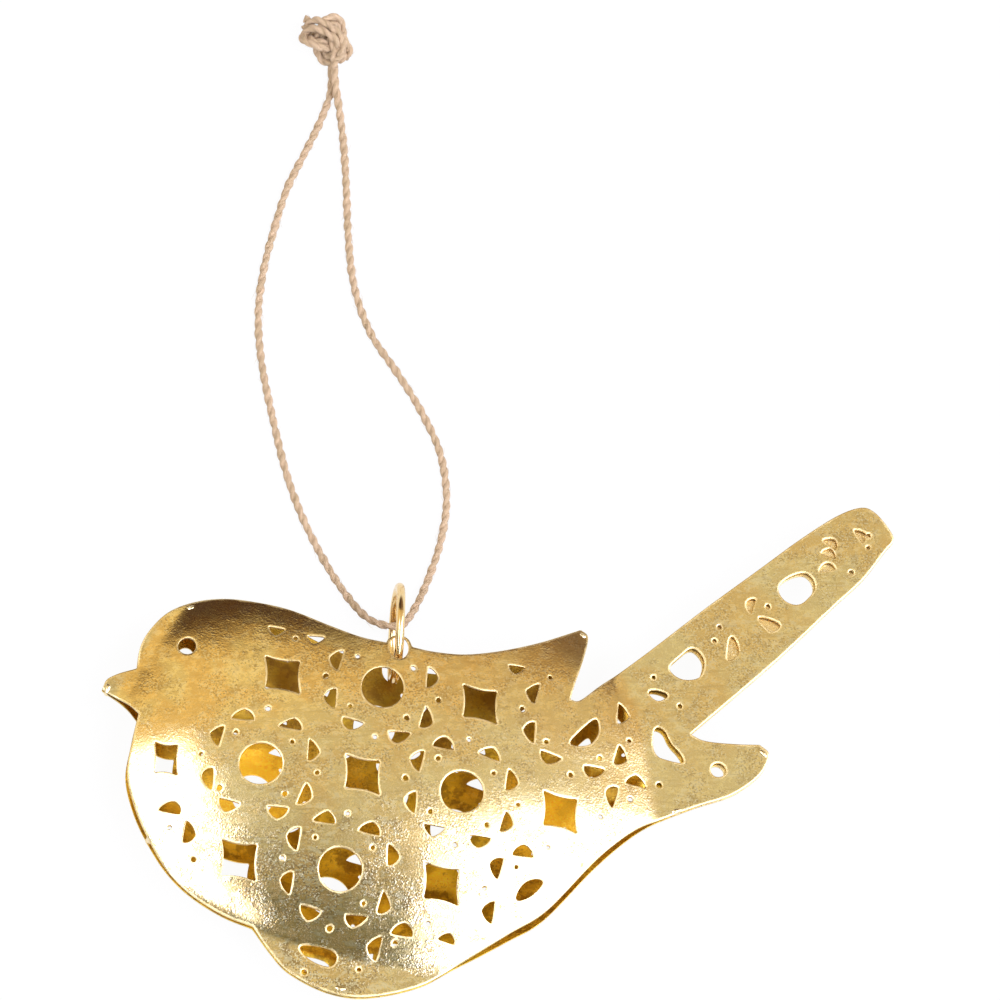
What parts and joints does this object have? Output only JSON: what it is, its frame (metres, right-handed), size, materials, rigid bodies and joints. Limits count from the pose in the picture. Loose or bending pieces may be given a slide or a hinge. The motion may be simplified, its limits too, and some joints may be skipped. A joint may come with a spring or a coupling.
{
  "type": "hanging bird decoration",
  "caption": "Flat-backed pair of domed, pierced brass sheets cut as a long-tailed bird, tacked at the rims, with a wire ring and a knotted twine loop.",
  "frame": {"origin": "centre of the bird's box, ring included, on the surface that it lies on", "axes": "+X from beak to tail, +Y from belly to back, +Z from the back shell to the front shell, so the bird lies on its back shell with its front up"},
  "size_m": [0.1168, 0.1514, 0.0149],
  "materials": {
    "shell_brass": "polished sheet with a worn, mottled patina and bright cut edges",
    "ring_brass": "polished wire",
    "solder": "bright plated solder",
    "jute": "twisted jute twine"
  },
  "bodies": {
    "bird": {"front_shell": "shell_brass", "back_shell": "shell_brass", "beak_solder": "solder", "crown_solder": "solder", "wing_solder": "solder", "breast_solder": "solder", "belly_solder": "solder", "rump_solder": "solder", "lobe_solder": "solder"},
    "ring": {"hanging_ring": "ring_brass"},
    "loop": {"cord_loop": "jute", "loop_knot": "jute"}
  },
  "joints": [
    {"name": "ring_swing", "type": "hinge", "parent": "bird", "child": "ring", "pos_m": [-0.01483, 0.0138, 0.00745], "axis": [0, 0, 1], "range_deg": [-40, 12]},
    {"name": "loop_lift", "type": "hinge", "parent": "ring", "child": "loop", "pos_m": [-0.0144, 0.0202, 0.0026], "axis": [1, 0, 0], "range_deg": [0, 90]}
  ]
}
